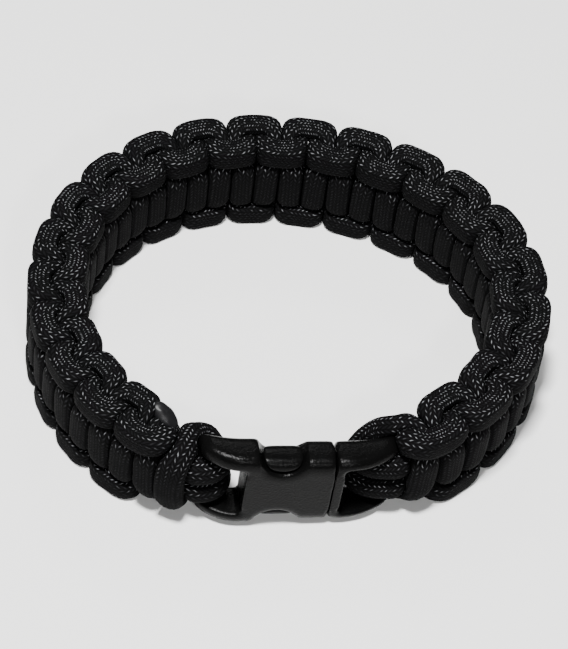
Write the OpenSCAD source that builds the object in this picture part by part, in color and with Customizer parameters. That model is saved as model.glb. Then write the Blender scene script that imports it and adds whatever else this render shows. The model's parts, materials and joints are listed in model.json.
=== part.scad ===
// Woven cord bracelet standing on its edge: two working strands knotted in a flat band round
// a doubled core cord, closed by a moulded side release buckle. The wrist goes through along
// Z, the buckle is at the front (-Y), and Z = 0 is the surface that the lower edge rests on.

/* [Loop] */
// Mean radius of the band's middle line
loop_r = 38.6; // [36:0.1:42]
// Half the difference between the loop's length and depth
loop_oval = 2; // [0:0.1:3]
// Egg shape of the loop, fuller on the plug's side
loop_egg = 0.6; // [0:0.1:1.5]
// How far the loop's straight front lies inside its round
front_flat = 3.2; // [1.5:0.1:4]
// Place of the buckle's middle along the straight front, from the loop's middle
buckle_shift = -1.4; // [-4:0.1:2]

/* [Band] */
// Width of the band, edge to edge
band_w = 19; // [18:0.1:22]
// Thickness of the band, inner face to outer face
band_t = 10; // [9.6:0.1:11.5]
// Diameter of the working cord where it lies free
cord_d = 3.5; // [3.2:0.05:3.6]
// Diameter of the core cord, squeezed by the knots
core_d = 3.4; // [3:0.05:3.5]
// Distance from one crossing to the next that the knots are tied at, before they share out the
// band's length evenly
knot_pitch = 4.83; // [4.6:0.01:5.2]
// Share by which the first knots are looser, and the last ones tighter, than the mean
knot_taper = 0.105; // [0:0.005:0.12]
// Distance from the plug's bar to the first crossing
knot_start = 4.3; // [3.8:0.1:5]
// Distance from the socket's bar to where one more crossing would lie
knot_end = 3.7; // [3:0.1:5]

/* [Buckle] */
// Length of the closed buckle over both bars
buckle_l = 33.7; // [32:0.1:40]
// Width of the buckle at the mouth
buckle_w = 15.6; // [14.4:0.1:16]
// Width of the socket over its rails
socket_w = 17.2; // [16:0.1:17.4]
// Thickness of the buckle's body
buckle_t = 6.4; // [6:0.1:7]
// How far the buckle hangs below the middle of the band
buckle_drop = 0.7; // [0:0.1:0.8]
// How far the buckle leans up towards the socket's end, in degrees
buckle_lean = 2; // [0:0.5:2.5]
// How far the buckle's body stands out from the line of the bars
buckle_out = 1.5; // [1:0.1:2]
// How far the rails' outer face curves in towards the wrist at the socket's end
rail_curve = 3.8; // [2.8:0.1:4]
// How far the rails' inner face curves in towards the wrist at the socket's end
rail_hollow = 1.3; // [0.8:0.1:1.5]
// Corner radius along the buckle's long edges
edge_r = 2; // [1:0.1:2.1]
// Corner radius of the buckle's outline at its ends
end_r = 2.2; // [1:0.1:2.4]
// Width of the slots that the cords pass through
slot_w = 11.6; // [11:0.1:12]
// Length of the socket's slot, from the bar to the body
socket_slot_l = 5.6; // [5:0.1:7]
// Length of the plug's slot, from the bar to the flange
plug_slot_l = 7.4; // [6:0.1:8]
// Diameter of the bar that closes each slot
bar_d = 2; // [1.6:0.1:2.4]
// How far the bars lie inside the band's middle line
bar_drop = 1.7; // [1:0.1:2]
// Length of the collar at the socket's mouth
collar_l = 4.9; // [3.5:0.1:6]
// Length of the socket's shoulder, from the slot to the side windows
shoulder_l = 2.2; // [1.5:0.1:3]
// Depth of the side windows that the plug's pads show in
window_d = 3; // [2.6:0.1:3.2]
// Length of the plug's flange, against the socket's mouth
flange_l = 1.6; // [1:0.1:2.5]
// Wall of the socket over its cavity
socket_wall = 1.5; // [1.2:0.1:1.8]
// Width of each of the plug's two prongs
prong_w = 1.6; // [1.2:0.1:2]
// How far the pads lie below the mouth's surface
pad_sink = 0.5; // [0.2:0.1:0.8]
// Running clearance between plug and socket
clearance = 0.15; // [0.1:0.05:0.3]
// Gap kept between a cord and what it bears on
seat_gap = 0.15; // [0.1:0.05:0.3]

/* [Hidden] */
cord_black = [0.07, 0.07, 0.075];
core_black = [0.10, 0.10, 0.11];
plastic_black = [0.13, 0.13, 0.14];
sides = 8;

// The knot, as a quarter of its repeat: from the middle of a crossing to the middle of the
// turn that the strand makes along the edge on its way to the next crossing.
// Columns: along in pitches, across in half spans, out in half rises, and the cord's
// squeezed width and thickness as shares of its diameter.
KNOT = [
    [ 0.00, 0.00,  1.00, 1.10, 0.84],
    [-0.05, 0.50,  0.84, 0.94, 0.84],
    [-0.24, 0.71,  0.10, 0.56, 1.00],
    [-0.26, 0.95, -0.45, 0.56, 0.92],
    [-0.02, 1.00, -0.95, 0.84, 0.84],
    [ 0.50, 0.98, -1.05, 0.96, 0.86],
];
turn = len(KNOT) - 1;

// How the strands leave the plug's bar, how their melted ends lie past the last crossing, and
// how the core's bight wraps the band beside the socket.
// Columns: cord diameters from the bar towards the knots, or pitches past the last crossing,
// then across, out, width and thickness as in the knot.
OUTER_START = [
    [-0.74, 0.24, -0.83, 0.94, 0.78],
    [-0.77, 0.26, -1.12, 0.90, 0.82],
    [-0.86, 0.38, -1.40, 0.88, 0.86],
    [-0.70, 0.54, -1.46, 0.90, 0.86],
    [-0.16, 0.70, -1.50, 0.90, 0.86],
    [ 0.46, 0.88, -1.40, 0.90, 0.84],
];
// The first turn of the outer strand is lower than the knot's own, in pitches as the knot is
FIRST_TURN = [
    [-0.02, 0.93, -1.00, 0.84, 0.84],
    [-0.26, 0.90, -0.45, 0.56, 0.92],
    [-0.24, 0.71, 0.10, 0.56, 1.00],
    [-0.05, 0.50, 0.84, 0.94, 0.84],
];
INNER_START = [
    [0.14, -0.24, -1.22, 0.94, 0.78],
    [0.86, -0.33, -1.08, 0.94, 0.84],
];
OUTER_END = [[0.32, 1.00, -1.08, 1.10, 0.60], [0.62, 0.98, -1.12, 1.20, 0.50]];
INNER_END = [[0.10, 0.98, -0.90, 1.00, 0.66], [0.36, 0.97, -1.06, 1.16, 0.50]];
BIGHT = [
    [-0.24, 0.30, -1.22, 0.96, 0.82],
    [-0.02, 0.46, -1.42, 0.90, 0.86],
    [ 0.43, 0.58, -1.58, 0.86, 0.84],
    [ 0.90, 0.68, -1.30, 0.88, 0.86],
    [ 1.02, 0.74, -0.36, 0.86, 0.90],
    [ 1.10, 0.68,  0.50, 0.92, 0.88],
    [ 1.17, 0.42,  1.06, 1.20, 0.84],
    [ 1.20, 0.00,  1.14, 1.34, 0.84],
    [ 1.17, -0.42,  1.06, 1.20, 0.84],
    [ 1.12, -0.68,  0.50, 0.92, 0.88],
    [ 1.10, -0.76, -0.36, 0.86, 0.90],
    [ 1.07, -0.74, -1.26, 0.88, 0.86],
    [ 0.78, -0.66, -1.58, 0.86, 0.86],
    [ 0.20, -0.50, -1.50, 0.90, 0.86],
    [-0.18, -0.30, -1.24, 0.96, 0.82],
];

// Half span and half rise of the working strand's middle line
half_span = (band_w - cord_d * KNOT[turn][4]) / 2;
half_rise = (band_t - cord_d * KNOT[0][4]) / 2;
mid_z = band_w / 2;
core_offset = core_d / 2 + seat_gap / 2;

// The middle line of the band in plan, as a radius at each polar angle
front_y = loop_r - loop_oval - front_flat;
front_sharp = 60;
function round_r(a) = loop_r + loop_oval * cos(2 * a) + loop_egg * cos(3 * a);
function front_r(a) = front_y / max(cos(a + 90), 0.15);
function plan_r(a) = pow(pow(round_r(a), -front_sharp) + pow(front_r(a), -front_sharp), -1 / front_sharp);
function plan_xy(a) = plan_r(a) * [cos(a), sin(a)];
angle_step = 2;
plan_angles = [for (a = [-90:angle_step:270]) a];
function running(list, i = 0, sum = 0) =
    i >= len(list) ? [] : concat([sum + list[i]], running(list, i + 1, sum + list[i]));
plan_sums = running([for (a = plan_angles) a == -90 ? 0 : norm(plan_xy(a) - plan_xy(a - angle_step))]);
plan_lengths = [for (i = [0:len(plan_angles) - 1]) [plan_sums[i], plan_angles[i]]];
loop_l = plan_sums[len(plan_sums) - 1];
function unit(v) = v / norm(v);
function tangent_at(s) =
    let (a = lookup(s, plan_lengths))
    unit(plan_xy(a + 0.6) - plan_xy(a - 0.6));
// The loop's middle is placed so that the whole bracelet is centred on the origin
loop_x = -loop_egg;
turn_bulge = 0.4;
loop_y = -(front_flat + band_t / 2 + turn_bulge - buckle_out - buckle_t / 2) / 2;
// A point s along the loop from the middle of its front, w above the band's middle, n outwards
function place(s, w, n) =
    let (c = plan_xy(lookup(s, plan_lengths)), t = tangent_at(s))
    [loop_x + c[0] + n * t[1], loop_y + c[1] - n * t[0], mid_z + w];

// Stations of the bars and of each crossing along the loop
plug_bar_s = buckle_shift + (buckle_l - bar_d) / 2;
socket_bar_s = loop_l + buckle_shift - (buckle_l - bar_d) / 2;
// An even number of knots fills the band
knots_l = socket_bar_s - plug_bar_s - knot_start - knot_end;
crossings = 2 * round(knots_l / knot_pitch / 2);
pitch = knots_l / crossings;
function knot_s(i) =
    plug_bar_s + knot_start + pitch * (i * (1 + knot_taper) - knot_taper * i * i / crossings);
// Tighter knots squeeze the cord narrower
function squeeze(i) = 1 + knot_taper * (1 - 2 * i / crossings);

// Rows of a strand: station, across, out, width, thickness. flip is 1 or -1 for the way that
// the crossing runs, face is 1 for the outer strand and -1 for the inner one.
function knot_row(i, row, back, flip, face) =
    [knot_s(i + (back ? 1 - row[0] : row[0])), flip * face * row[1] * half_span,
     face * row[2] * half_rise, row[3] * squeeze(i), row[4]];
function quarter(i, rows, back, flip, face) = [for (r = rows) knot_row(i, r, back, flip, face)];
way_in = [for (k = [turn - 1:-1:1]) KNOT[k]];
function repeat(i, face) =
    let (flip = i % 2 == 0 ? -1 : 1)
    concat(quarter(i, KNOT, false, flip, face), quarter(i, way_in, true, flip, face));
function woven(face) = [for (i = [0:crossings - 2]) for (r = repeat(i, face)) r];
function way_out(face, end) =
    concat(quarter(crossings - 1, [for (k = [0:turn - 1]) KNOT[k]], false, 1, face),
           quarter(crossings - 1, end, false, 1, face));
function from_bar(bar_s, way, rows) =
    [for (r = rows) [bar_s + way * r[0] * cord_d, r[1] * half_span, r[2] * half_rise, r[3], r[4]]];

outer_rows = concat(from_bar(plug_bar_s, 1, OUTER_START), quarter(-1, FIRST_TURN, true, 1, 1),
                    woven(1), way_out(1, OUTER_END));
inner_rows = concat(from_bar(plug_bar_s, 1, INNER_START), quarter(-1, [KNOT[1]], true, 1, -1),
                    woven(-1), way_out(-1, INNER_END));

// The core runs twice through the band. At each end it rounds the bar, over its outer side,
// through the slot and back on its inner side. Beside the socket its bight wraps the band.
wrap_flat = 0.8;
wrap_out = (bar_d / 2 + seat_gap) / cos(34) + core_d * wrap_flat / 2;
wrap_rise = wrap_out - bar_drop;
BAR_LEAD = [[0.88, 0.30], [0.50, 1.12]];
function lead(bar_s, way, side) =
    [for (r = BAR_LEAD) [bar_s + way * r[0] * core_d, side * core_offset, wrap_rise * r[1], 1, 0.9]];
function wrap(bar_s, way, side, angles) =
    concat(lead(bar_s, way, side),
           [for (a = angles) [bar_s - way * wrap_out * cos(a), side * core_offset,
                              wrap_out * sin(a) - bar_drop, 1, wrap_flat]]);
core_rings = 40;
core_from = plug_bar_s + 1.5 * core_d;
core_to = socket_bar_s - 1.5 * core_d;
function core_run(side) =
    [for (k = [0:core_rings]) [core_from + (core_to - core_from) * k / core_rings, side * core_offset, 0, 1, 1]];
function reversed(list) = [for (k = [len(list) - 1:-1:0]) list[k]];
core_rows = concat(reversed(wrap(plug_bar_s, 1, 1, [90, 45, 0, -12])), core_run(1),
                   wrap(socket_bar_s, -1, 1, [90, 45, 0, -45]), from_bar(socket_bar_s, -1, BIGHT),
                   reversed(wrap(socket_bar_s, -1, -1, [90, 45, 0, -45])), reversed(core_run(-1)),
                   wrap(plug_bar_s, 1, -1, [90, 45, 0, -45, -65]));

// A tube through the rows. Each ring is an ellipse that lies flat against the core.
function heading(points, k) = unit(points[min(k + 1, len(points) - 1)] - points[max(k - 1, 0)]);
function away(row) =
    let (t = tangent_at(row[0]))
    [t[1], -t[0], 0] * row[2] + [0, 0, 0.8 * row[1]];
function ring(centre, out, t, a, b) =
    let (o = unit(out - (out * t) * t), u = cross(t, o))
    [for (j = [0:sides - 1]) centre + a * cos((j + 0.5) * 360 / sides) * u
                                    + b * sin((j + 0.5) * 360 / sides) * o];
module tube(rows, outs, d) {
    points = [for (r = rows) place(r[0], r[1], r[2])];
    rings = [for (k = [0:len(rows) - 1])
        for (v = ring(points[k], outs[k], heading(points, k), d / 2 * rows[k][3], d / 2 * rows[k][4])) v];
    walls = [for (k = [0:len(rows) - 2]) for (j = [0:sides - 1])
        let (a = k * sides + j, b = k * sides + (j + 1) % sides)
        each [[a, b, b + sides], [a, b + sides, a + sides]]];
    last = (len(rows) - 1) * sides;
    caps = [[for (j = [sides - 1:-1:0]) j], [for (j = [0:sides - 1]) last + j]];
    polyhedron(rings, concat(walls, caps), convexity = 20);
}

module outer_strand() {
    color(cord_black) tube(outer_rows, [for (r = outer_rows) away(r)], cord_d);
}
module inner_strand() {
    color(cord_black) tube(inner_rows, [for (r = inner_rows) away(r)], cord_d);
}
module core_cord() {
    color(core_black) tube(core_rows, core_outs, core_d);
}
// Round a bar the ring faces away from the bar, elsewhere away from the band's middle
core_outs = [for (r = core_rows)
    let (t = tangent_at(r[0]), near = min(abs(r[0] - plug_bar_s), abs(r[0] - socket_bar_s)))
    abs(r[1]) > core_offset + 0.01 ? away(r)
    : r[2] == 0 ? [t[1], -t[0], 0]
    : bar_out_dir(r)];
function bar_out_dir(r) =
    let (bar = r[0] > loop_l / 2 ? socket_bar_s : plug_bar_s, t = tangent_at(r[0]))
    [t[0], t[1], 0] * (r[0] - bar) + [t[1], -t[0], 0] * (r[2] + bar_drop);

// The buckle is drawn along X, with its width along Z and its outer face towards -Y
buckle_z = mid_z - buckle_drop;
socket_end = buckle_shift - buckle_l / 2;
plug_end = buckle_shift + buckle_l / 2;
socket_body = socket_end + bar_d + socket_slot_l;
plug_body = plug_end - bar_d - plug_slot_l;
mouth = plug_body - flange_l - clearance;
collar_from = mouth - collar_l;
window_l = collar_from - socket_body - shoulder_l;
window_x = collar_from - window_l / 2;
window_r = (window_l * window_l / 4 + window_d * window_d) / (2 * window_d);
cavity_t = buckle_t - 2 * socket_wall;
// The cavity opens into both windows
cavity_lap = 0.6;
cavity_w = buckle_w - 2 * window_d + 2 * cavity_lap;
module round_rect(w, h, r) {
    square([w - 2 * r, h], center = true);
    square([w, h - 2 * r], center = true);
    for (x = [-1, 1]) {
        for (y = [-1, 1]) {
            translate([x * (w / 2 - r), y * (h / 2 - r)]) circle(r, $fn = 32);
        }
    }
}
// A block along X between two stations, with rounded long edges
module rounded_block(x0, x1, width, thick) {
    translate([x0, 0, 0]) rotate([90, 0, 90]) linear_extrude(x1 - x0) round_rect(thick, width, edge_r);
}
// A pair of rails from the body to the end, way -1 towards the socket's end and 1 towards the
// plug's. Their outer face curves in more than their inner one, so they get thinner. The block
// that gives the outer face is a little wider, which leaves the rails a crisper outer edge.
rail_crisp = 0.15;
module curved_rails(x_body, way, length, width) {
    intersection() {
        bent_block(x_body, way, length, width + 2 * rail_crisp, rail_curve, -1);
        bent_block(x_body, way, length, width, rail_hollow, 1);
    }
}
// A thick block that bends in by so much over its length, with one face flush with the body:
// the outer one for face -1, the inner one for 1
module bent_block(x_body, way, length, width, bend_in, face) {
    bend_r = (length * length + bend_in * bend_in) / (2 * bend_in);
    block_t = min(1.3 * buckle_t, 0.9 * bend_r);
    translate([x_body, face * buckle_t / 2 + bend_r, 0]) rotate([0, 0, way < 0 ? -180 : -90])
        rotate_extrude(angle = 90, $fn = 180) translate([bend_r + face * block_t / 2, 0])
            round_rect(block_t, width, edge_r);
}
through = 5 * buckle_t;
slot_r = 0.8;
module along_y(height) {
    rotate([90, 0, 0]) linear_extrude(height, center = true) children();
}
module outline(x0, x1, width) {
    along_y(through) translate([(x0 + x1) / 2, 0]) round_rect(x1 - x0, width, end_r);
}
// The bar stays upright while the buckle leans, and is rooted in both rails
bar_root = 0.7;
module end_bar(x) {
    bar_l = slot_w + 2 * bar_root;
    translate([x, bar_drop + buckle_out, -bar_l / 2 - x * sin(buckle_lean)]) cylinder(bar_l, d = bar_d, $fn = 24);
}
module end_slot(x0, x1) {
    along_y(through) translate([(x0 + x1) / 2, 0]) round_rect(x1 - x0, slot_w, slot_r);
}
module window_disc(side, r, height) {
    translate([window_x, 0, side * (buckle_w / 2 + window_r - window_d)]) along_y(height) circle(r, $fn = 64);
}
// Clears what is left of the wider socket over the window
module window_mouth(side) {
    translate([window_x - window_r, -buckle_t, side > 0 ? buckle_w / 2 : -buckle_w])
        cube([2 * window_r, 2 * buckle_t, buckle_w / 2]);
}
module buckle_seat() {
    translate([loop_x, loop_y - front_y - buckle_out, buckle_z]) children();
}
module leaning() {
    rotate([0, buckle_lean, 0]) children();
}
module buckle_socket() {
    color(plastic_black) buckle_seat() {
        leaning() difference() {
            intersection() {
                union() {
                    curved_rails(socket_body, -1, bar_d + socket_slot_l, socket_w);
                    rounded_block(socket_body - 0.1, window_x, socket_w, buckle_t);
                    rounded_block(window_x - 0.1, mouth, buckle_w, buckle_t);
                }
                outline(socket_end, mouth + end_r, socket_w);
            }
            end_slot(socket_end - 2 * bar_d, socket_body);
            for (side = [-1, 1]) {
                window_disc(side, window_r, 3 * buckle_t);
                window_mouth(side);
            }
            translate([socket_body + socket_wall, -cavity_t / 2, -cavity_w / 2])
                cube([mouth - socket_body, cavity_t, cavity_w]);
        }
        end_bar(socket_end + bar_d / 2);
    }
}
// A prong of the plug, with the pad that shows in the socket's window
module prong(side) {
    arm_t = cavity_t - 2 * clearance;
    arm_z = cavity_w / 2 - clearance - prong_w / 2;
    x0 = window_x - window_l / 3;
    translate([x0, -arm_t / 2, side * arm_z - prong_w / 2]) cube([mouth + flange_l / 2 - x0, arm_t, prong_w]);
    intersection() {
        window_disc(side, window_r - clearance, buckle_t);
        rounded_block(window_x - window_l, collar_from, buckle_w - 2 * pad_sink, buckle_t - 2 * pad_sink);
    }
}
module buckle_plug() {
    color(plastic_black) buckle_seat() {
        leaning() difference() {
            intersection() {
                union() {
                    rounded_block(mouth + clearance, plug_body + 0.1, buckle_w, buckle_t);
                    curved_rails(plug_body, 1, bar_d + plug_slot_l, buckle_w);
                }
                outline(mouth - end_r, plug_end, buckle_w);
            }
            end_slot(plug_body, plug_end + 2 * bar_d);
        }
        end_bar(plug_end - bar_d / 2);
        leaning() {
            prong(1);
            prong(-1);
        }
    }
}

outer_strand();
inner_strand();
core_cord();
buckle_socket();
buckle_plug();
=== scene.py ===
# %% [markdown]
# # A woven cord bracelet
#
# A survival bracelet is one long piece of parachute cord, tied into a flat band and closed by
# a small side release buckle. The solids of the cords and the buckle come from the packed
# model, which fixes every size. This script dresses them: fuller cords that press against
# each other, the braided sheath, the melted ends, and the moulded finish of the buckle.

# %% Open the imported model
import json
import math
import bpy
import numpy as np
from mathutils import Matrix, Vector
from mathutils.bvhtree import BVHTree
from mathutils.kdtree import KDTree

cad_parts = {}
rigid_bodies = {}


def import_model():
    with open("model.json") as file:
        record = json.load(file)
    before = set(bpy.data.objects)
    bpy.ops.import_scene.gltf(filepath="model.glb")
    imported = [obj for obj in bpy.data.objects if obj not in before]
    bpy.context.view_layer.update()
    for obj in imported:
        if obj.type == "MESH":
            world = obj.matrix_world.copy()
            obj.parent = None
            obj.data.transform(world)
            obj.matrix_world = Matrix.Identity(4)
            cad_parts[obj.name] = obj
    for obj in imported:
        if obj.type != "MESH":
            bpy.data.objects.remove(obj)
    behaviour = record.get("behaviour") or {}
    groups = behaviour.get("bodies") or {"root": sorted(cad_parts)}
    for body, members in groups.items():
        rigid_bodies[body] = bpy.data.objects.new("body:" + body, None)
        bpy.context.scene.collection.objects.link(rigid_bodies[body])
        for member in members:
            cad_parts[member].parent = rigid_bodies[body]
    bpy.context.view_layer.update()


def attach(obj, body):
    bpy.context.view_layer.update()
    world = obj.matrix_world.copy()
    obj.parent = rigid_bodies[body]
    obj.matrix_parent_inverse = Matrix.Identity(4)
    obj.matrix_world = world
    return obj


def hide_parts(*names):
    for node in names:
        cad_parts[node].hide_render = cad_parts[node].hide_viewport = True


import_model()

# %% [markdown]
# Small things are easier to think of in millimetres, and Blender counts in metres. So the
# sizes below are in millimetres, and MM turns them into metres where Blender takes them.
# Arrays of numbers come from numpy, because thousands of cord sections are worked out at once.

MM = 0.001

# %% [markdown]
# ## Camera, floor and light
#
# The picture is taken from the front and above, as someone looks down on a bracelet on a
# table. A long lens from half a metre keeps the loop's front and back nearly the same size.
# A constraint could keep the camera on its target, but this one is also rolled a little, so
# that the buckle runs downhill to the right. So its three axes are worked out one by one.

# %% Camera
TARGET, OFFSET = (-0.60, -3.05, 9.5), (-68.3, -321.4, 376.8)
ROLL_DEGREES, LENS_MM, SENSOR_MM = 7.89, 180.28, 36

def look_at(target, offset, roll):
    camera = bpy.data.objects.new("camera", bpy.data.cameras.new("camera"))
    bpy.context.collection.objects.link(camera)
    back = Vector(offset).normalized()
    right = Vector((0, 0, 1)).cross(back).normalized()
    up = back.cross(right)
    turn = math.radians(roll)
    axis_x = right * math.cos(turn) + up * math.sin(turn)
    axis_y = up * math.cos(turn) - right * math.sin(turn)
    stand = Matrix((axis_x, axis_y, back)).transposed().to_4x4()
    stand.translation = (Vector(target) + Vector(offset)) * MM
    camera.matrix_world = stand
    return camera

camera = look_at(TARGET, OFFSET, ROLL_DEGREES)
camera.data.sensor_fit = "HORIZONTAL"
camera.data.sensor_width = SENSOR_MM
camera.data.lens = LENS_MM
camera.data.clip_start = 0.01
bpy.context.scene.camera = camera
print("Camera distance in mm:", round((camera.location - Vector(TARGET) * MM).length / MM, 1))

# %% [markdown]
# The floor is one plain plane. It is only the stage and no part of the bracelet.

# %% Floor
FLOOR_METRES = 4

def deselect():
    for chosen in bpy.context.selected_objects:
        chosen.select_set(False)

deselect()
bpy.ops.mesh.primitive_plane_add(size=FLOOR_METRES, location=(0, 0, 0))
floor = bpy.context.object
floor.name = "studio_floor"
print("Floor width in metres:", floor.dimensions.x)

# %% [markdown]
# Black cord is all about light. A sky or a bright room would make it grey all over, so it gets
# three small area lights in dim air. The key light high above lights the bright flecks on the
# upward faces, which are painted highlights in the cords' colour, and draws the short
# highlights on the buckle's round edges. A weak one from the front keeps the sides readable,
# and one from behind lifts the far edge.

# %% Lights
# Columns: name, place in metres, height aimed at, width and length in metres, watts
SOFTBOXES = [("key_softbox", (-0.12, -0.16, 0.84), 0, (0.13, 0.13), 20),
             ("front_softbox", (0.04, -0.62, 0.54), 0.01, (0.09, 0.07), 2.5),
             ("back_softbox", (0.05, 0.62, 0.62), 0.01, (0.25, 0.15), 1.2)]
AIR_GLOW = 0.09

def softbox(name, spot, aim_height, size, watts):
    light = bpy.data.objects.new(name, bpy.data.lights.new(name, "AREA"))
    bpy.context.collection.objects.link(light)
    light.data.shape = "RECTANGLE"
    light.data.size, light.data.size_y = size
    light.data.energy = watts
    light.location = spot
    towards = Vector((0, 0, aim_height)) - Vector(spot)
    light.rotation_euler = towards.to_track_quat("-Z", "Y").to_euler()

for row in SOFTBOXES:
    softbox(*row)
world = bpy.data.worlds.new("studio_air")
bpy.context.scene.world = world
world.use_nodes = True
air = world.node_tree.nodes["Background"].inputs
air["Color"].default_value = (1, 1, 1, 1)
air["Strength"].default_value = AIR_GLOW
print("Lights:", [row[0] for row in SOFTBOXES])

# %% [markdown]
# ## The band's route
#
# The band follows one closed line: a slightly egg shaped loop whose front is straight, where
# the buckle sits. Every cord is given by its place along that line, its height on the band
# and its depth in it, with the same sizes as the solids. A curve object could hold the line
# too, but a formula can be asked for a place and a direction at any length.

# %% The middle line of the band
# The loop's radius, and how far it departs from round as an oval and as an egg
LOOP_R, LOOP_OVAL, LOOP_EGG = 38.6, 2.0, 0.6
# The straight front's depth, how sharply it meets the round, and the least cosine it uses
FRONT_FLAT, FRONT_SHARP, FRONT_LEAST = 3.2, 60, 0.15
BAND_W = 19.0
# The middle of the loop
LOOP_X, LOOP_Y, MID_Z = -0.6, -1.95, BAND_W / 2
# Degrees between two points of the line, and either way along it to find its direction
PLAN_STEP, HALF_LOOK = 2.0, 0.6

def plan_xy(angle):
    a = np.radians(angle)
    round_r = LOOP_R + LOOP_OVAL * np.cos(2 * a) + LOOP_EGG * np.cos(3 * a)
    front_r = (LOOP_R - LOOP_OVAL - FRONT_FLAT) / np.maximum(np.cos(a + np.pi / 2), FRONT_LEAST)
    r = (round_r ** -FRONT_SHARP + front_r ** -FRONT_SHARP) ** (-1 / FRONT_SHARP)
    return np.stack([r * np.cos(a), r * np.sin(a)], -1)

def lengths_to(points):
    return np.r_[0, np.cumsum(np.linalg.norm(np.diff(points, axis=0), axis=1))]

plan_angles = np.arange(-90, 271, PLAN_STEP)
plan_lengths = lengths_to(plan_xy(plan_angles))
LOOP_L = plan_lengths[-1]
print("Loop length in mm:", round(LOOP_L, 1))

# %% Places on the band
def ahead_at(s):
    angle = np.interp(s, plan_lengths, plan_angles)
    chord = plan_xy(angle + HALF_LOOK) - plan_xy(angle - HALF_LOOK)
    return chord / np.linalg.norm(chord, axis=-1, keepdims=True)

def place(s, w, n):
    """Points at s along the loop, w above the band's middle line and n out of the loop."""
    middle, ahead = plan_xy(np.interp(s, plan_lengths, plan_angles)), ahead_at(s)
    x = LOOP_X + middle[:, 0] + n * ahead[:, 1]
    y = LOOP_Y + middle[:, 1] - n * ahead[:, 0]
    return np.stack([x, y, MID_Z + w + np.zeros(len(x))], -1)

print("Middle of the front in mm:", place(np.array([0.0]), 0, 0)[0].round(2))

# %% [markdown]
# ## The knot
#
# The cobra stitch is a chain of half knots. Each working strand crosses the band, turns round
# the edge, runs back along it and crosses again. The whole route could be drawn point by
# point, more than a metre for each strand. But one quarter of the pattern, mirrored and
# repeated, gives all of it, and a better quarter then betters every knot. The knots are
# looser at the plug's end.

# %% Rows of one knot
# Diameters of the strands and the core in the solids, and the free radius of a dressed cord
CORD_D, CORE_D, CORD_R = 3.5, 3.4, 2.3
# The pitch aimed at, the extra share of it at the plug's end, and the way from bar to knots
KNOT_PITCH, TAPER, KNOT_START, KNOT_END = 4.83, 0.105, 4.3, 3.7
# The buckle's length, its bars' thickness and depth in the band, and its shift along the loop
BUCKLE_L, BAR_D, BAR_DROP, BUCKLE_SHIFT = 33.7, 2.0, 1.7, -1.4
# Half the way that a strand's middle goes across the band, and out of it
HALF_SPAN, HALF_RISE = 7.55, 3.15
PLUG_BAR = BUCKLE_SHIFT + (BUCKLE_L - BAR_D) / 2
SOCKET_BAR = LOOP_L + BUCKLE_SHIFT - (BUCKLE_L - BAR_D) / 2
KNOTS_L = SOCKET_BAR - PLUG_BAR - KNOT_START - KNOT_END
CROSSINGS = 2 * round(KNOTS_L / KNOT_PITCH / 2)
PITCH = KNOTS_L / CROSSINGS
# Columns: along in pitches, across in half spans, out in half rises
KNOT = [(0.00, 0.00, 1.00), (-0.05, 0.50, 0.84), (-0.24, 0.71, 0.10),
        (-0.26, 0.95, -0.45), (-0.02, 1.00, -0.95), (0.50, 0.98, -1.05)]
TURN = len(KNOT) - 1
WAY_IN = KNOT[TURN - 1:0:-1]
print("Crossings:", CROSSINGS, "mean pitch in mm:", round(PITCH, 3))

# %% Quarters of a knot in a chain
def knot_s(i):
    return PLUG_BAR + KNOT_START + PITCH * (i * (1 + TAPER) - TAPER * i * i / CROSSINGS)

def quarter(i, rows, back, flip, face):
    return [(knot_s(i + (1 - r[0] if back else r[0])), flip * face * r[1] * HALF_SPAN,
             face * r[2] * HALF_RISE) for r in rows]

def woven(face):
    rows = []
    for i in range(CROSSINGS - 1):
        flip = -1 if i % 2 == 0 else 1
        rows += quarter(i, KNOT, False, flip, face) + quarter(i, WAY_IN, True, flip, face)
    return rows

print("First and last knot at mm:", round(knot_s(0), 1), round(knot_s(CROSSINGS), 1))

# %% [markdown]
# At the plug the two strands come from behind its bar, and one of them rises over the end of
# the rail as a tall arch. At the socket both strands end, cut and melted, and the core cord's
# loop wraps the band once: the widest crossing on the outer face. None of this repeats, so
# its points are given in a short list.

# %% Rows of the ends
# Columns: along in cord diameters from the bar, or in pitches for the turns and the ends,
# then across and out as shares of the half span and the half rise
OUTER_START = [(-1.76, -0.92, -0.96), (-1.62, -0.56, -1.16), (-1.15, -0.10, -1.38),
               (-0.62, 0.26, -1.46), (-0.10, 0.44, -1.46), (0.46, 0.62, -1.10)]
FIRST_TURN = [(-0.02, 0.78, -0.75), (-0.26, 0.80, -0.25), (-0.24, 0.68, 0.10),
              (-0.05, 0.50, 0.84)]
INNER_START = [(0.14, -0.24, -1.22), (0.86, -0.33, -1.08)]
OUTER_END = [(-0.22, 0.94, -0.62)]
LAST_TURN = [(-0.24, 0.66, 0.10), (-0.26, 0.76, -0.40)]
BIGHT = [(-0.24, 0.30, -1.22), (-0.02, 0.42, -1.40), (0.43, 0.46, -1.36), (0.90, 0.58, -1.00),
         (1.02, 0.66, -0.20), (1.10, 0.64, 0.55), (1.17, 0.40, 1.06), (1.20, 0.00, 1.14),
         (1.17, -0.38, 1.06), (1.12, -0.62, 0.55), (1.10, -0.68, -0.36), (1.07, -0.66, -1.20),
         (0.78, -0.60, -1.50), (0.20, -0.48, -1.48), (-0.18, -0.30, -1.24)]
# Half the span and half the rise for the rows that are counted from a bar
WORK_SPAN, WORK_RISE = 7.995, 3.53

def from_bar(bar, way, rows):
    return [(bar + way * r[0] * CORD_D, r[1] * WORK_SPAN, r[2] * WORK_RISE) for r in rows]

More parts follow.
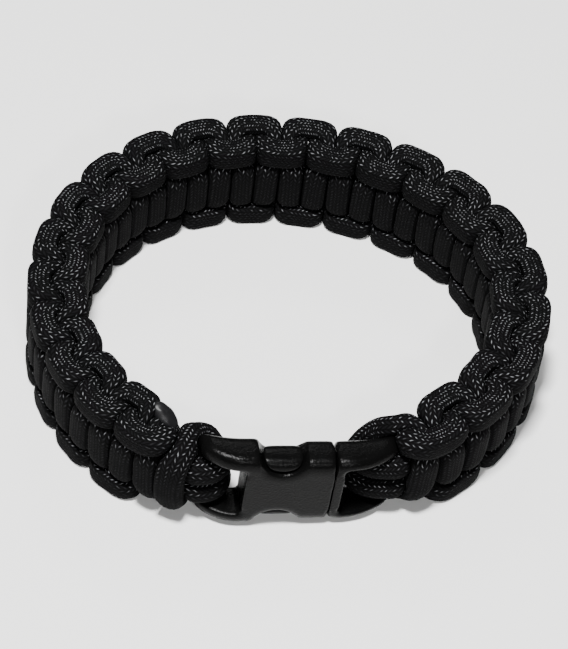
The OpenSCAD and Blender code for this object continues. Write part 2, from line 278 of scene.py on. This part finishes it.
outer_rows = (from_bar(PLUG_BAR, 1, OUTER_START) + quarter(-1, FIRST_TURN, True, 1, 1)
              + woven(1) + quarter(CROSSINGS - 1, KNOT[:TURN - 1] + OUTER_END, False, 1, 1))
inner_rows = (from_bar(PLUG_BAR, 1, INNER_START) + quarter(-1, [KNOT[1]], True, 1, -1)
              + woven(-1) + quarter(CROSSINGS - 1, KNOT[:2] + LAST_TURN, False, 1, -1))
print("Rows of the strands:", len(outer_rows), len(inner_rows))

# %% [markdown]
# The core cord runs twice through the middle of the band and wraps both bars of the buckle.
# Its lower run hangs lower in each slot, most of all at the plug. Straight runs and arcs are
# easy to work out, so only the leads into the slots are listed.

# %% Rows of the core
# How far each run is from the middle, how far a wrap goes round a bar, and how far it sags
CORE_OFFSET, WRAP_OUT, WRAP_SAG = 1.775, 2.75, 1.3
PLUG_WRAP_OUT, PLUG_WRAP_SAG = 5.3, 1.9
# Columns: along in core diameters from the bar, depth as a share of the wrap's
BAR_LEAD = [(0.88, 0.30), (0.50, 1.12)]
CORE_LEAD, CORE_POINTS = 1.5 * CORE_D, 41
# Degrees round a bar; the cord's first end stops short of it and its last goes on a little
HALF_WRAP, FIRST_WRAP, LAST_WRAP = [90, 45, 0, -45], [90, 45, 0, -12], [90, 45, 0, -45, -65]

def wrap(bar, way, side, angles):
    reach, sag = (PLUG_WRAP_OUT, PLUG_WRAP_SAG) if way > 0 else (WRAP_OUT, WRAP_SAG)
    w = CORE_OFFSET if side > 0 else -CORE_OFFSET - sag
    rows = [(bar + way * r[0] * CORE_D, w, (WRAP_OUT - BAR_DROP) * r[1]) for r in BAR_LEAD]
    for angle in angles:
        a = math.radians(angle)
        rows.append((bar - way * reach * math.cos(a), w, WRAP_OUT * math.sin(a) - BAR_DROP))
    return rows

def core_run(side):
    run = np.linspace(PLUG_BAR + CORE_LEAD, SOCKET_BAR - CORE_LEAD, CORE_POINTS)
    return [(s, side * CORE_OFFSET, 0) for s in run]

core_rows = (wrap(PLUG_BAR, 1, 1, FIRST_WRAP)[::-1] + core_run(1)
             + wrap(SOCKET_BAR, -1, 1, HALF_WRAP) + from_bar(SOCKET_BAR, -1, BIGHT)
             + wrap(SOCKET_BAR, -1, -1, HALF_WRAP)[::-1] + core_run(-1)[::-1]
             + wrap(PLUG_BAR, 1, -1, LAST_WRAP))
print("Rows of the core:", len(core_rows))

# %% [markdown]
# ## Smooth cords
#
# A cord bends in one flowing line. A curve object with a round bevel would give such tubes at
# once, but all of them round, and these cords press each other flat. So the rows are joined
# by a cubic curve in numbers, and it is cut into even steps of half a millimetre. Even steps
# let the braid of the sheath keep its real length everywhere.

# %% From rows to an even middle line
STEP = 0.5
# Pieces of curve between two rows, and passes that calm the line
CUTS, LINE_PASSES = 8, 3

def even(points):
    lengths = lengths_to(points)
    at = np.linspace(0, lengths[-1], int(round(lengths[-1] / STEP)) + 1)
    return np.stack([np.interp(at, lengths, points[:, k]) for k in range(3)], -1)

def blurred(values, passes):
    values = values.copy()
    for _ in range(passes):
        values[1:-1] = (values[:-2] + 2 * values[1:-1] + values[2:]) / 4
    return values

def flowing(rows):
    along_s, up_w, out_n = np.array(rows, float).T
    points = place(along_s, up_w, out_n)
    lengths = lengths_to(points)
    slope = np.gradient(points, lengths, axis=0)
    line = []
    for k in range(len(points) - 1):
        span = lengths[k + 1] - lengths[k]
        for x in np.linspace(0, 1, CUTS, endpoint=False):
            line.append((2 * x**3 - 3 * x**2 + 1) * points[k]
                        + (x**3 - 2 * x**2 + x) * span * slope[k]
                        + (3 * x**2 - 2 * x**3) * points[k + 1]
                        + (x**3 - x**2) * span * slope[k + 1])
    return even(blurred(even(np.array(line + [points[-1]])), LINE_PASSES))

routes = {"outer": outer_rows, "inner": inner_rows, "core": core_rows}
lines = {name: flowing(rows) for name, rows in routes.items()}
for name, line in lines.items():
    print(name, "cord length in mm:", round(STEP * (len(line) - 1)))

# %% [markdown]
# A frame of two directions goes along each cord without twisting, as the sheath of a real
# cord does, and the spokes of a wheel are set out from it at every step. Two spokes go to
# each of the braid's columns. From here on all cords are one long stack of rings, so that
# each ring can look for its neighbours on the other cords.

# %% Directions round each cord
COLUMNS = 20
SIDES = 2 * COLUMNS
# Any direction will do to start from, if no cord starts along it
ANY_START = (0.31, 0.47, 0.83)

def spokes(line):
    ahead = np.gradient(line, axis=0)
    ahead /= np.linalg.norm(ahead, axis=1, keepdims=True)
    side = np.zeros_like(ahead)
    side[0] = np.cross(ahead[0], ANY_START)
    side[0] /= np.linalg.norm(side[0])
    for k in range(1, len(line)):
        carried = side[k - 1] - ahead[k] * (side[k - 1] @ ahead[k])
        side[k] = carried / np.linalg.norm(carried)
    other = np.cross(ahead, side)
    turn = np.arange(SIDES)[None, :, None] * 2 * np.pi / SIDES
    return side[:, None] * np.cos(turn) + other[:, None] * np.sin(turn)

centres = np.vstack(list(lines.values()))
rays = np.vstack([spokes(line) for line in lines.values()])
which = np.concatenate([np.full(len(line), k) for k, line in enumerate(lines.values())])
along = np.concatenate([STEP * np.arange(len(line)) for line in lines.values()])
rings = {name: np.nonzero(which == k)[0] for k, name in enumerate(lines)}
print("Rings:", {name: len(part) for name, part in rings.items()})

# %% [markdown]
# ## Cords that press each other
#
# Where two soft cords touch, each one gives way, and the surface between them lies half way.
# A simulation of soft bodies could find that surface, but it has to be tuned and waited for.
# Here each ring is cut by the middle planes to its neighbours, which is right for two cords
# of one size. The room of a ring is how far each of its spokes may reach.

# %% Room between neighbours
# The farthest that a spoke looks, and the gap left between two cords
ROOM, GAP = 3.2, 0.03
# Rings of the same cord count as neighbours from this far along it
OWN_REACH = 5.5
# The least slope of a spoke towards a plane that counts
GRAZE = 0.05

room = np.full((len(centres), SIDES), ROOM)
for i in range(len(centres)):
    offset = centres - centres[i]
    distance = np.linalg.norm(offset, axis=1)
    other = (which != which[i]) | (np.abs(along - along[i]) > OWN_REACH)
    near = (distance < 2 * ROOM) & other
    if near.any():
        towards = offset[near] / distance[near, None]
        lean = np.maximum(rays[i] @ towards.T, GRAZE)
        room[i] = np.minimum(room[i], ((distance[near] - GAP) / 2 / lean).min(axis=1))
print("Room between neighbours in mm, mean:", round(room.mean(), 2))

# %% [markdown]
# A tight bend squeezes its inner side: the sheath there can't reach past the middle of the
# bend, or its rings would cross.

# %% Room inside a bend
# The share of a bend's radius that the sheath may fill, and the least bend that counts
BEND_SHARE, LEAST_BEND = 0.92, 0.2

for name, line in lines.items():
    bend = np.zeros_like(line)
    bend[2:-2] = (line[4:] - 2 * line[2:-2] + line[:-4]) / (2 * STEP) ** 2
    inward = np.einsum("ijk,ik->ij", rays[rings[name]], bend)
    limit = BEND_SHARE / np.maximum(inward, LEAST_BEND)
    room[rings[name]] = np.minimum(room[rings[name]], limit)
print("Smallest room so far in mm:", round(room.min(), 2))

# %% [markdown]
# The band's two faces are pressed flat by the fingers that tie it, and its lower edge is flat
# on the table. Each of these is a plane that the spokes stop at. The upper edge gets such a
# plane too, at the height of the solids.

# %% Room up to the flat faces and edges
# Depth of the pressed faces, and the least that a cord near one keeps outside its middle
FACE_DEPTH, FACE_LEAST = 5.1, 1.55
ROAD_POINTS = 1200

def across_band(points):
    """The way out of the loop at each point, and how far out the point lies."""
    s = np.linspace(0, LOOP_L, ROAD_POINTS)
    road = place(s, 0, 0)[:, :2]
    nearest = np.array([np.argmin(((road - p[:2]) ** 2).sum(axis=1)) for p in points])
    ahead = ahead_at(s[nearest])
    out = np.stack([ahead[:, 1], -ahead[:, 0], np.zeros(len(ahead))], -1)
    return out, ((points - place(s[nearest], 0, 0)) * out).sum(axis=1)

def up_to_plane(distance, slope):
    """Room up to a plane at that distance, for spokes that go towards it with that slope."""
    return np.where(slope > GRAZE, distance[:, None] / np.maximum(slope, GRAZE), ROOM)

outwards, depth = across_band(centres)
out_slope, up_slope = np.einsum("ijk,ik->ij", rays, outwards), rays[:, :, 2]
for side in (-1, 1):
    face = np.maximum(FACE_DEPTH, side * depth + FACE_LEAST)
    room = np.minimum(room, up_to_plane(face - side * depth, side * out_slope))
room = np.minimum(room, up_to_plane(centres[:, 2], -up_slope))
room = np.minimum(room, up_to_plane(BAND_W - centres[:, 2], up_slope))
print("Depths in the band in mm:", round(depth.min(), 2), "to", round(depth.max(), 2))

# %% [markdown]
# The hard buckle doesn't give way at all, so beside it the cord gives way alone. Each spoke
# there is sent out as a ray, and where it meets the plastic the cord stops just short of it.

# %% Room beside the buckle
BUCKLE_GAP, LEAST_ROOM = 0.08, 0.3
# Only rings in front of this y, and no farther to a side than this x, can touch the buckle
BUCKLE_Y, BUCKLE_X = -20, 30

beside = np.nonzero((centres[:, 1] < BUCKLE_Y) & (np.abs(centres[:, 0]) < BUCKLE_X))[0]
for name in ("buckle_socket", "buckle_plug"):
    mesh = bpy.data.objects[name].data
    corners = [v.co / MM for v in mesh.vertices]
    solid = BVHTree.FromPolygons(corners, [p.vertices for p in mesh.polygons])
    for i in beside:
        for j in range(SIDES):
            distance = solid.ray_cast(Vector(centres[i]), Vector(rays[i, j]), ROOM)[3]
            if distance is not None:
                room[i, j] = min(room[i, j], max(distance - BUCKLE_GAP, LEAST_ROOM))
print("Rings tried against the buckle:", len(beside))

# %% [markdown]
# The cord keeps its amount of fibre: where it is squeezed on one side it swells on the
# others. The free radius of each ring is found by halving until the section has its area.

# %% Sections of equal area
AREA = math.pi * CORD_R ** 2
# How sharply a free round side meets a side that is pressed flat
SHARP = 6.5
LEAST_R, MOST_R, HALVINGS = 1.3, 2.8, 14
# Passes along the cord that even out the free radius, and then the finished rings
FREE_PASSES, RING_PASSES = 12, 3

def section(radius):
    return (radius[:, None] ** -SHARP + room ** -SHARP) ** (-1 / SHARP)

low, high = np.full(len(centres), LEAST_R), np.full(len(centres), MOST_R)
for _ in range(HALVINGS):
    middle = (low + high) / 2
    small = (section(middle) ** 2).sum(axis=1) * math.pi / SIDES < AREA
    low, high = np.where(small, middle, low), np.where(small, high, middle)
radii = section(blurred(low, FREE_PASSES))
radii = np.minimum(blurred(radii, RING_PASSES), room)
print("Radii in mm:", round(radii.min(), 2), "to", round(radii.max(), 2))

# %% [markdown]
# ## The sheath
#
# The sheath is a braid of fine nylon yarns that run both ways round the cord. Seen from
# outside it is twenty narrow columns of slanting stitches, less than a millimetre apart. Its
# yarns could be modelled one by one, but nearly three metres of them are far too many faces.
# So the mesh only follows the columns, with a low line between two of them, and the stitches
# are left to the finish. The UV map holds the turn round the cord and the millimetres along
# it, so that the finish can follow every bend.

# %% Tubes with the braid's relief
RELIEF = 0.03
# How far a cut end's round reaches, and the least that it leaves, squared
END_ROUND, END_LEAST = 1.4, 0.02

def end_rounding(count):
    away = np.minimum(np.arange(count), np.arange(count)[::-1]) * STEP
    dome = np.sqrt(np.clip(1 - (1 - away / END_ROUND) ** 2, END_LEAST, 1))
    return np.where(away < END_ROUND, dome, 1)

def sheath_points(line, ray, radius):
    relief = np.where(np.arange(SIDES) % 2, RELIEF, -RELIEF)
    shape = radius * end_rounding(len(line))[:, None] + relief
    around = (line[:, None] + ray * shape[:, :, None]).reshape(-1, 3)
    return np.vstack([around, line[0], line[-1]]) * MM

print("Points of the core's sheath:", len(centres[rings["core"]]) * SIDES + 2)

# %% Faces and UV map of a sheath
def sheath_faces(count):
    faces, uvs = [], []
    for k in range(count - 1):
        for j in range(SIDES):
            a, b = k * SIDES + j, k * SIDES + (j + 1) % SIDES
            faces.append((a, b, b + SIDES, a + SIDES))
            u0, u1, v0, v1 = j / SIDES, (j + 1) / SIDES, k * STEP, (k + 1) * STEP
            uvs += [(u0, v0), (u1, v0), (u1, v1), (u0, v1)]
    first, last, tip = count * SIDES, count * SIDES + 1, (count - 1) * SIDES
    for j in range(SIDES):
        b = (j + 1) % SIDES
        faces += [(first, b, j), (last, tip + j, tip + b)]
        uvs += [(j / SIDES, 0)] * 3 + [(j / SIDES, count * STEP)] * 3
    return faces, uvs

def sheath(name, line, ray, radius):
    faces, uvs = sheath_faces(len(line))
    mesh = bpy.data.meshes.new(name)
    mesh.from_pydata(sheath_points(line, ray, radius).tolist(), [], faces)
    mesh.uv_layers.new(name="braid").data.foreach_set("uv", np.array(uvs).ravel())
    mesh.polygons.foreach_set("use_smooth", [True] * len(faces))
    piece = bpy.data.objects.new(name, mesh)
    bpy.context.collection.objects.link(piece)
    return piece

cords = {}
for name, line in lines.items():
    cords[name] = sheath(name + "_sheath", line, rays[rings[name]], radii[rings[name]])
    print(name, "triangles:", sum(len(p.vertices) - 2 for p in cords[name].data.polygons))

# %% [markdown]
# ## Melted ends
#
# The cut ends are melted with a flame and pressed flat with a thumb, which leaves a smooth
# grey tab of solid nylon. One shows on the upper edge beside the socket, the other is under
# the band. Sculpting would suit a single close look. For two small tabs it is enough to
# flatten a sphere over the end of the cord and push its surface about a little with clouds.

# %% Melted ends
# Columns: half length, width and thickness in mm, turns about x, y and z in degrees
UPPER_TIP, LOWER_TIP = [(2.9, 1.6, 0.9), (10.7, 30.5, -44.3)], [(1.6, 1.6, 1.4), (0, 0, -45)]
# The upper tip's place along the loop, up the band and out of it
TIP_S, TIP_W, TIP_N = 216.2, 7.9, -2.8
LUMP_SIZE, LUMP_HEIGHT = 1.6, 0.25
MIDDLE = (0, 0, 0)

def melted_tip(name, centre, half, turns):
    deselect()
    bpy.ops.mesh.primitive_uv_sphere_add(segments=48, ring_count=32, radius=1, location=MIDDLE)
    tip = bpy.context.object
    tip.name = name
    bpy.ops.object.mode_set(mode="EDIT")
    bpy.ops.mesh.select_all(action="SELECT")
    bpy.ops.transform.resize(value=[h * MM for h in half], center_override=MIDDLE)
    for angle, axis in zip(turns, "XYZ"):
        # With no window, rotate turns the other way
        turn = -math.radians(angle)
        bpy.ops.transform.rotate(value=turn, orient_axis=axis, center_override=MIDDLE)
    bpy.ops.transform.translate(value=[c * MM for c in centre])
    bpy.ops.object.mode_set(mode="OBJECT")
    lumps = bpy.data.textures.new(name + "_lumps", "CLOUDS")
    lumps.noise_scale = LUMP_SIZE * MM
    uneven = tip.modifiers.new("uneven", "DISPLACE")
    uneven.texture, uneven.strength, uneven.texture_coords = lumps, LUMP_HEIGHT * MM, "LOCAL"
    bpy.ops.object.modifier_apply(modifier="uneven")
    bpy.ops.object.shade_smooth()
    return tip

upper_place, lower_place = place(np.array([TIP_S]), TIP_W, TIP_N)[0], lines["inner"][-1]
tips = [melted_tip("melted_tip_upper", upper_place, *UPPER_TIP),
        melted_tip("melted_tip_lower", lower_place, *LOWER_TIP)]
print("Melted ends at mm:", upper_place.round(1), lower_place.round(1))

# %% [markdown]
# ## Materials
#
# One small function adds a node, with its settings and with its inputs, in order or by name.
# An input is a number, a colour, or a node, whose first output in use is then joined to it.
# So a material reads as a short recipe. Colours are written as on a screen, in hex, and one
# function turns them to the linear values that light is worked out in.

# %% A helper for shader nodes
def linear(hex_colour):
    values = [int(hex_colour[k:k + 2], 16) / 255 for k in (1, 3, 5)]
    return [v / 12.92 if v <= 0.04045 else ((v + 0.055) / 1.055) ** 2.4 for v in values] + [1.0]

def node(tree, kind, inputs=(), **settings):
    made = tree.nodes.new("ShaderNode" + kind)
    for key, value in settings.items():
        setattr(made, key, value)
    pairs = inputs.items() if isinstance(inputs, dict) else enumerate(inputs)
    for key, value in pairs:
        if isinstance(value, bpy.types.Node):
            value = next(output for output in value.outputs if output.enabled)
        if isinstance(value, bpy.types.NodeSocket):
            tree.links.new(value, made.inputs[key])
        else:
            made.inputs[key].default_value = value
    return made

def new_material(name):
    material = bpy.data.materials.new(name)
    material.use_nodes = True
    material.node_tree.nodes.clear()
    return material, material.node_tree

# A pattern's scale is how many of it go into a metre, so it is given as a number in 10 mm
CM = 10 * MM
print("A mid grey is", round(linear("#808080")[0], 3), "in linear light")

# %% [markdown]
# Nylon sheath, braided: black multifilament yarn. An image of a braid could be laid over it,
# but a formula keeps the stitches sharp and of one size on all the cords. The first half of
# the recipe finds out where a point lies: in which column, how far across it, and how far
# along its stitch. Stitches lean left and right in turn from column to column, are 0.65 mm
# long, and wander a little, as yarns do, in nine soft waves to a centimetre.

# %% Braided nylon, the stitches
# A stitch's length in mm, and the share of it that a stitch may wander
STITCH, UNSTEADY = 0.65, 0.6
sheath_look, tree = new_material("nylon_braided_sheath")
on_sheath = node(tree, "SeparateXYZ", [node(tree, "UVMap", uv_map="braid")])
column = node(tree, "Math", [on_sheath.outputs["X"], COLUMNS], operation="MULTIPLY")
across = node(tree, "Math", [column], operation="FRACT")
which_column = node(tree, "Math", [column], operation="FLOOR")
half_column = node(tree, "Math", [which_column, 0.5], operation="MULTIPLY")
odd = node(tree, "Math", [node(tree, "Math", [half_column], operation="FRACT"), 2.0],
           operation="MULTIPLY")
lean = node(tree, "Math", [odd, 2.0, -1.0], operation="MULTIPLY_ADD")
off_middle = node(tree, "Math", [across, 0.5], operation="SUBTRACT")
slanted = node(tree, "Math", [off_middle, lean], operation="MULTIPLY")
stitches = node(tree, "Math", [on_sheath.outputs["Y"], STITCH], operation="DIVIDE")
run = node(tree, "Math", [odd, 0.5, stitches], operation="MULTIPLY_ADD")
run = node(tree, "Math", [slanted, run], operation="ADD")
spot = node(tree, "TexCoord").outputs["Object"]
wander = node(tree, "TexNoise", {"Vector": spot, "Scale": 9 / CM, "Detail": 1.0})
run = node(tree, "Math", [wander, UNSTEADY, run], operation="MULTIPLY_ADD")
print(sheath_look.name, "nodes so far:", len(tree.nodes))

# %% [markdown]
# The second half gives each stitch its round crest, and a darker base colour in the hollow
# round it, which is painted shade. The bundles shine along their crests: this is painted as
# short bright flecks in the base colour, painted highlights that are strongest on faces that
# point up, where the key light falls. Some bundles lie better than others, so each stitch has
# its own chance of a fleck. A low specular and a high roughness keep the rest deep black, as
# fine dull yarn is.

# %% Braided nylon, the relief and the painted shine
phase = node(tree, "Math", [run], operation="FRACT")
yarn = node(tree, "Math", [node(tree, "Math", [phase, math.pi], operation="MULTIPLY")],
            operation="SINE")
ridge = node(tree, "Math", [node(tree, "Math", [across, math.pi], operation="MULTIPLY")],
             operation="SINE")
flat_ridge = node(tree, "Math", [ridge, 0.6], operation="POWER")
height = node(tree, "Math", [yarn, flat_ridge], operation="MULTIPLY")
stitch_number = node(tree, "Math", [run], operation="FLOOR")
cell = node(tree, "CombineXYZ", {"X": which_column, "Y": stitch_number})
chance = node(tree, "TexWhiteNoise", {"Vector": cell}, noise_dimensions="2D")
facing = node(tree, "SeparateXYZ", [node(tree, "NewGeometry").outputs["Normal"]])
# Inputs: what is eased, where it starts and ends, and what it gives there
on_crest = node(tree, "MapRange", [yarn, 0.86, 0.985, 0, 1], interpolation_type="SMOOTHSTEP")
on_ridge = node(tree, "MapRange", [ridge, 0.76, 0.96, 0, 1], interpolation_type="SMOOTHSTEP")
lucky = node(tree, "MapRange", [chance, 0.1, 0.85, 0, 1], interpolation_type="SMOOTHSTEP")
# Painted top light: the flecks' painted highlight is strongest on faces that point up and fades
# on the sides
painted_top_light = node(tree, "MapRange", [facing.outputs["Z"], 0, 0.8, 0.06, 0.92],
           interpolation_type="SMOOTHSTEP")
raised = node(tree, "MapRange", [height, 0.15, 0.7, 0, 1], interpolation_type="SMOOTHSTEP")
crest = node(tree, "Math", [on_crest, on_ridge], operation="MULTIPLY")
glint_stitches = node(tree, "Math", [crest, lucky], operation="MULTIPLY")
painted_glint = node(tree, "Math", [glint_stitches, painted_top_light], operation="MULTIPLY")
# Painted shade: the base colour is darker in the hollows between the stitches
yarn_tone_and_painted_shade = node(tree, "Mix", {"Factor": raised, "A": linear("#040404"), "B": linear("#0c0c0d")},
             data_type="RGBA")
# Painted highlight: the flecks mix a light grey into the base colour
colour = node(tree, "Mix", {"Factor": painted_glint, "A": yarn_tone_and_painted_shade, "B": linear("#6c6d6f")},
              data_type="RGBA")
bump = node(tree, "Bump", {"Height": height, "Strength": 0.5, "Distance": 0.09 * MM})
shader = node(tree, "BsdfPrincipled", {"Base Color": colour, "Roughness": 0.8, "IOR": 1.53,
                                       "Specular IOR Level": 0.03, "Normal": bump})
node(tree, "OutputMaterial", {"Surface": shader})
print(sheath_look.name, "nodes:", len(tree.nodes))

# %% [markdown]
# Nylon, melted and pressed: the same fibre turned to a solid, grey, smooth and uneven. Soot
# from the flame lies on it in patches of about 1.4 mm, seven to a centimetre. Its shine is
# clearer than the yarn's, and broken by low dents.

# %% Melted nylon
melted_look, tree = new_material("nylon_melted_pressed")
spot = node(tree, "TexCoord").outputs["Object"]
soot = node(tree, "TexNoise", {"Vector": spot, "Scale": 7 / CM, "Detail": 3.0})
tone = node(tree, "Mix", {"Factor": soot, "A": linear("#0c0c0d"), "B": linear("#19191a")},
            data_type="RGBA")
bump = node(tree, "Bump", {"Height": soot, "Strength": 0.3, "Distance": 0.1 * MM})
shader = node(tree, "BsdfPrincipled", {"Base Color": tone, "Roughness": 0.35, "IOR": 1.53,
                                       "Specular IOR Level": 0.12, "Normal": bump})
node(tree, "OutputMaterial", {"Surface": shader})
print(melted_look.name, "nodes:", len(tree.nodes))

# %% [markdown]
# Acetal, injection moulded: the common plastic of small buckles. The mould leaves an even
# satin grain, which spreads every highlight. On the real thing it is a tenth of a millimetre
# or less. From this far away that would not show at all, so it is drawn as coarse as it needs
# to, 26 to a centimetre. Slow clouds of about 6 mm make some places a little smoother, as
# plastic is where it has been handled.

# %% Moulded acetal
acetal_look, tree = new_material("acetal_moulded_satin")
spot = node(tree, "TexCoord").outputs["Object"]
grain = node(tree, "TexNoise", {"Vector": spot, "Scale": 26 / CM, "Detail": 3.0})
cloud = node(tree, "TexNoise", {"Vector": spot, "Scale": 1.6 / CM, "Detail": 2.0})
tone = node(tree, "Mix", {"Factor": cloud, "A": linear("#040404"), "B": linear("#090909")},
            data_type="RGBA")
rough = node(tree, "MapRange", [cloud, 0.3, 0.7, 0.22, 0.30])
bump = node(tree, "Bump", {"Height": grain, "Strength": 1.0, "Distance": 0.065 * MM})
shader = node(tree, "BsdfPrincipled", {"Base Color": tone, "Roughness": rough, "IOR": 1.48,
                                       "Specular IOR Level": 0.055, "Normal": bump})
node(tree, "OutputMaterial", {"Surface": shader})
print(acetal_look.name, "nodes:", len(tree.nodes))

# %% [markdown]
# Board, painted: the floor is pale and matt, so that only the bracelet's own shadow shows.

# %% Painted floor
floor_look, tree = new_material("painted_board_matt")
shader = node(tree, "BsdfPrincipled", {"Base Color": linear("#f2f2f1"), "Roughness": 0.8})
node(tree, "OutputMaterial", {"Surface": shader})
floor.data.materials.append(floor_look)
print(floor_look.name, "nodes:", len(tree.nodes))

# %% [markdown]
# ## The buckle
#
# The moulded halves keep the solids' shape, and every edge gets the small round that a mould
# needs. A bevel would be the first thought, but it wants clean edges, and the solids are made
# of many thin triangles. So a copy of each solid is merged and skinned again with small even
# quads, which can be smoothed anywhere: a few passes round its edges while its faces stay
# where they are.

# %% A new skin for each half
# Points closer than this are one, the new skin's grid, and the passes that round it
MERGE, SKIN_GRID, SKIN_PASSES = 0.002, 0.17, 6

def smooth(piece, passes, group=""):
    rounding = piece.modifiers.new("rounding", "SMOOTH")
    rounding.factor, rounding.iterations, rounding.vertex_group = 0.5, passes, group
    bpy.ops.object.modifier_apply(modifier=rounding.name)

def skinned_copy(name):
    deselect()
    piece = bpy.data.objects.new(name + "_moulding", bpy.data.objects[name].data.copy())
    bpy.context.collection.objects.link(piece)
    piece.select_set(True)
    bpy.context.view_layer.objects.active = piece
    bpy.ops.object.mode_set(mode="EDIT")
    bpy.ops.mesh.select_all(action="SELECT")
    bpy.ops.mesh.remove_doubles(threshold=MERGE * MM)
    bpy.ops.object.mode_set(mode="OBJECT")
    skin = piece.modifiers.new("skin", "REMESH")
    skin.mode, skin.voxel_size = "VOXEL", SKIN_GRID * MM
    bpy.ops.object.modifier_apply(modifier="skin")
    smooth(piece, SKIN_PASSES)
    return piece

print("Skin grid in mm:", SKIN_GRID)

# %% [markdown]
# The long edges and the rims of the side windows are worn smooth by hands, so they get more
# passes. A vertex group says where: each vertex counts by how near it is to such an edge. The
# long edges are found by their slanting faces, which the first passes have left there, and
# the rims by their distance from the middle of a window.

# %% Worn edges and rims
# The least product of y and z in a slanting normal, and how far its edge's wear reaches
SLANTING, EDGE_REACH = 0.2, 1.7
# How steeply the wear comes on from there, and its passes
EDGE_RISE, EDGE_PASSES = 1.5, 90
# Middle of each window in x and z, and its radius
WINDOWS, WINDOW_R = [(-4.81, 17.82), (-5.43, 0.09)], 4.07

def wear_edges(piece):
    slanting = [v for v in piece.data.vertices if abs(v.normal.y * v.normal.z) > SLANTING]
    nearest = KDTree(len(slanting))
    for v in slanting:
        nearest.insert(v.co, v.index)
    nearest.balance()
    edge = piece.vertex_groups.new(name="edge")
    for v in piece.data.vertices:
        away = nearest.find(v.co)[2] / MM
        if away < EDGE_REACH:
            edge.add([v.index], min(1, EDGE_RISE * (1 - away / EDGE_REACH)), "REPLACE")
    smooth(piece, EDGE_PASSES, "edge")

def wear_rims(piece, inner, outer, passes):
    rim = piece.vertex_groups.new(name="rim")
    for v in piece.data.vertices:
        for window_x, window_z in WINDOWS:
            x, z = v.co.x / MM - window_x, v.co.z / MM - window_z
            reach = math.hypot(x, z)
            if inner < reach < outer and abs(x) < WINDOW_R:
                rim.add([v.index], min(1, reach - inner, outer - reach) ** 0.5, "REPLACE")
    smooth(piece, passes, "rim")

print("Window radius in mm:", WINDOW_R)

# %% Buckle halves with moulded edges
# Columns: where the soft rim starts and ends, from the window's edge outwards, and its passes
RIMS = {"buckle_socket": (-0.4, 1.7, 60), "buckle_plug": (-1.6, 0.1, 30)}

halves = {}
for name, (rim_start, rim_end, passes) in RIMS.items():
    piece = skinned_copy(name)
    wear_edges(piece)
    wear_rims(piece, WINDOW_R + rim_start, WINDOW_R + rim_end, passes)
    bpy.ops.object.shade_smooth()
    piece.data.materials.clear()
    piece.data.materials.append(acetal_look)
    halves[name] = piece
    print(piece.name, "faces:", len(piece.data.polygons))

# %% [markdown]
# ## Riding and finishing
#
# A piece could ride on any moving part of the model. Nothing moves on the fastened bracelet,
# so all of them ride on its one body, and each cord and each half of the buckle stands for
# the solid that it was made over. The two melted ends stand for none.

# %% Finishes and bodies
for piece in cords.values():
    piece.data.materials.append(sheath_look)
    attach(piece, "root")
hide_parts("outer_strand")
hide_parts("inner_strand")
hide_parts("core_cord")
for tip in tips:
    tip.data.materials.append(melted_look)
    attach(tip, "root")
for name, piece in halves.items():
    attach(piece, "root")
    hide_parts(name)
print("Pieces:", len(cords) + len(tips) + len(halves))
